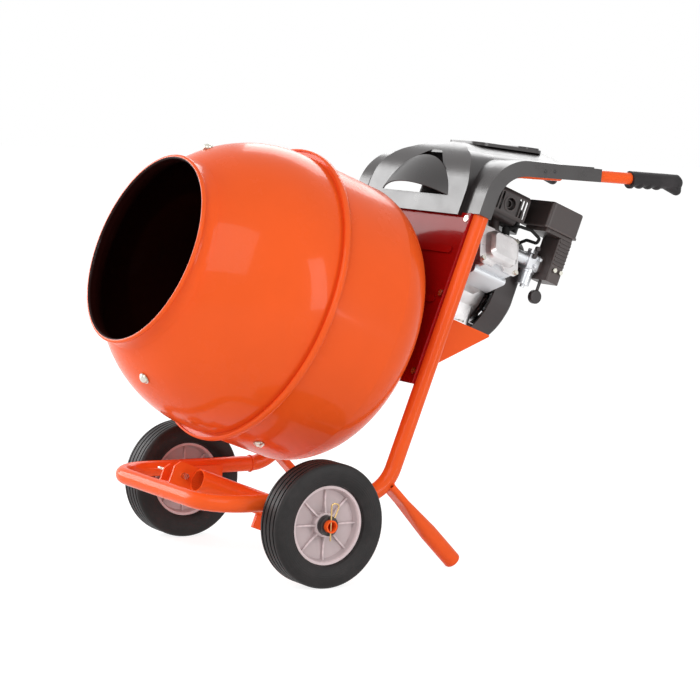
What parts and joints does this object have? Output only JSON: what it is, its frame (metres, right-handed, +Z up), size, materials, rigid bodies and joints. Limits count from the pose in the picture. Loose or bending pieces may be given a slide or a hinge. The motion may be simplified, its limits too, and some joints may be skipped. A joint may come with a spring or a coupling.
{
  "type": "concrete mixer",
  "caption": "Petrol concrete mixer: tilting barrow frame on solid wheels, open-mouthed drum on a leaning geared shaft, belt-driven by a hooded engine, with a stand socket.",
  "frame": {"origin": "on the ground, midway across the mixer and midway between the drum's lip and the ends of the grips", "axes": "+X to the left side (the exhaust side) for someone who holds the handles, +Y towards the handles, +Z up"},
  "size_m": [0.6376, 1.274, 0.882],
  "materials": {
    "frame_orange": "gloss enamel",
    "drum_orange": "gloss enamel",
    "panel_red": "gloss enamel",
    "hood_grey": "moulded satin",
    "tyre_black": "moulded",
    "rim_grey": "satin",
    "black_plastic": "satin",
    "zinc_steel": "bright zinc",
    "black_steel": "satin black",
    "gear_steel": "machined",
    "cast_alloy": "as cast",
    "rubber_black": "matt",
    "bronze": "machined",
    "grip_black": "matt",
    "heat_black": "heat-proof black"
  },
  "bodies": {
    "chassis": {"air_box": "black_plastic", "air_cleaner": "black_plastic", "axle": "frame_orange", "axle_clips": "zinc_steel", "axle_collars": "frame_orange", "axle_washers": "zinc_steel", "base_loop": "frame_orange", "carburettor": "cast_alloy", "choke_lever": "black_plastic", "crankcase": "cast_alloy", "cylinder": "cast_alloy", "drive_belt": "rubber_black", "drive_panel": "panel_red", "engine_bolts": "zinc_steel", "engine_shelf": "panel_red", "fan_cover": "black_plastic", "fuel_cap": "black_plastic", "fuel_knob": "black_plastic", "fuel_tank": "black_steel", "gearbox_bearings": "bronze", "gearbox_cover": "cast_alloy", "gearbox_housing": "cast_alloy", "hood": "hood_grey", "ignition_lead": "rubber_black", "left_grip": "grip_black", "left_handle_tube": "frame_orange", "left_leg": "frame_orange", "left_upright": "frame_orange", "lock_bracket": "frame_orange", "lock_spring": "zinc_steel", "muffler": "heat_black", "muffler_guard": "heat_black", "panel_bolts": "zinc_steel", "recoil_cover": "black_plastic", "right_grip": "grip_black", "right_handle_tube": "frame_orange", "right_leg": "frame_orange", "right_upright": "frame_orange", "stand_socket": "frame_orange", "valve_cover": "cast_alloy"},
    "drum": {"drum_bell": "drum_orange", "drum_bowl": "drum_orange", "drum_seam_band": "drum_orange", "drum_shaft": "gear_steel", "drum_bolts": "zinc_steel", "output_gear": "gear_steel", "mixing_blades": "drum_orange", "blade_bolts": "zinc_steel"},
    "lay": {"lay_gear": "gear_steel"},
    "input": {"input_shaft": "gear_steel", "driven_pulley": "black_steel"},
    "crank": {"crankshaft": "gear_steel", "crank_pulley": "black_steel"},
    "left_wheel": {"left_tyre": "tyre_black", "left_rim": "rim_grey", "left_wheel_bush": "black_plastic"},
    "right_wheel": {"right_tyre": "tyre_black", "right_rim": "rim_grey", "right_wheel_bush": "black_plastic"},
    "lock": {"lock_pin": "zinc_steel"}
  },
  "joints": [
    {"name": "drum_spin", "type": "hinge", "parent": "chassis", "child": "drum", "pos_m": [0, -0.00834, 0.44147], "axis": [0, 0.9397, -0.342], "continuous": true},
    {"name": "lay_spin", "type": "hinge", "parent": "chassis", "child": "lay", "pos_m": [-0.062, 0.01806, 0.514], "axis": [0, 0.9397, -0.342], "continuous": true},
    {"name": "input_spin", "type": "hinge", "parent": "chassis", "child": "input", "pos_m": [-0.00404, 0.01362, 0.50178], "axis": [0, 0.9397, -0.342], "continuous": true},
    {"name": "crank_spin", "type": "hinge", "parent": "chassis", "child": "crank", "pos_m": [0, 0.05836, 0.62471], "axis": [0, 0.9397, -0.342], "continuous": true},
    {"name": "left_wheel_spin", "type": "hinge", "parent": "chassis", "child": "left_wheel", "pos_m": [0.2815, -0.3006, 0.125], "axis": [1, 0, 0], "continuous": true},
    {"name": "right_wheel_spin", "type": "hinge", "parent": "chassis", "child": "right_wheel", "pos_m": [-0.2815, -0.3006, 0.125], "axis": [1, 0, 0], "continuous": true},
    {"name": "lock_pull", "type": "slide", "parent": "chassis", "child": "lock", "axis": [-1, 0, 0], "range_m": [0, 0.016], "stiffness_N_per_m": 900, "springref_m": -0.004, "deforming": ["lock_spring"]}
  ],
  "couplings": [
    {"joint": "lay_spin", "follows": "drum_spin", "ratio": -5},
    {"joint": "input_spin", "follows": "drum_spin", "ratio": 25},
    {"joint": "crank_spin", "follows": "drum_spin", "ratio": 83.333}
  ]
}
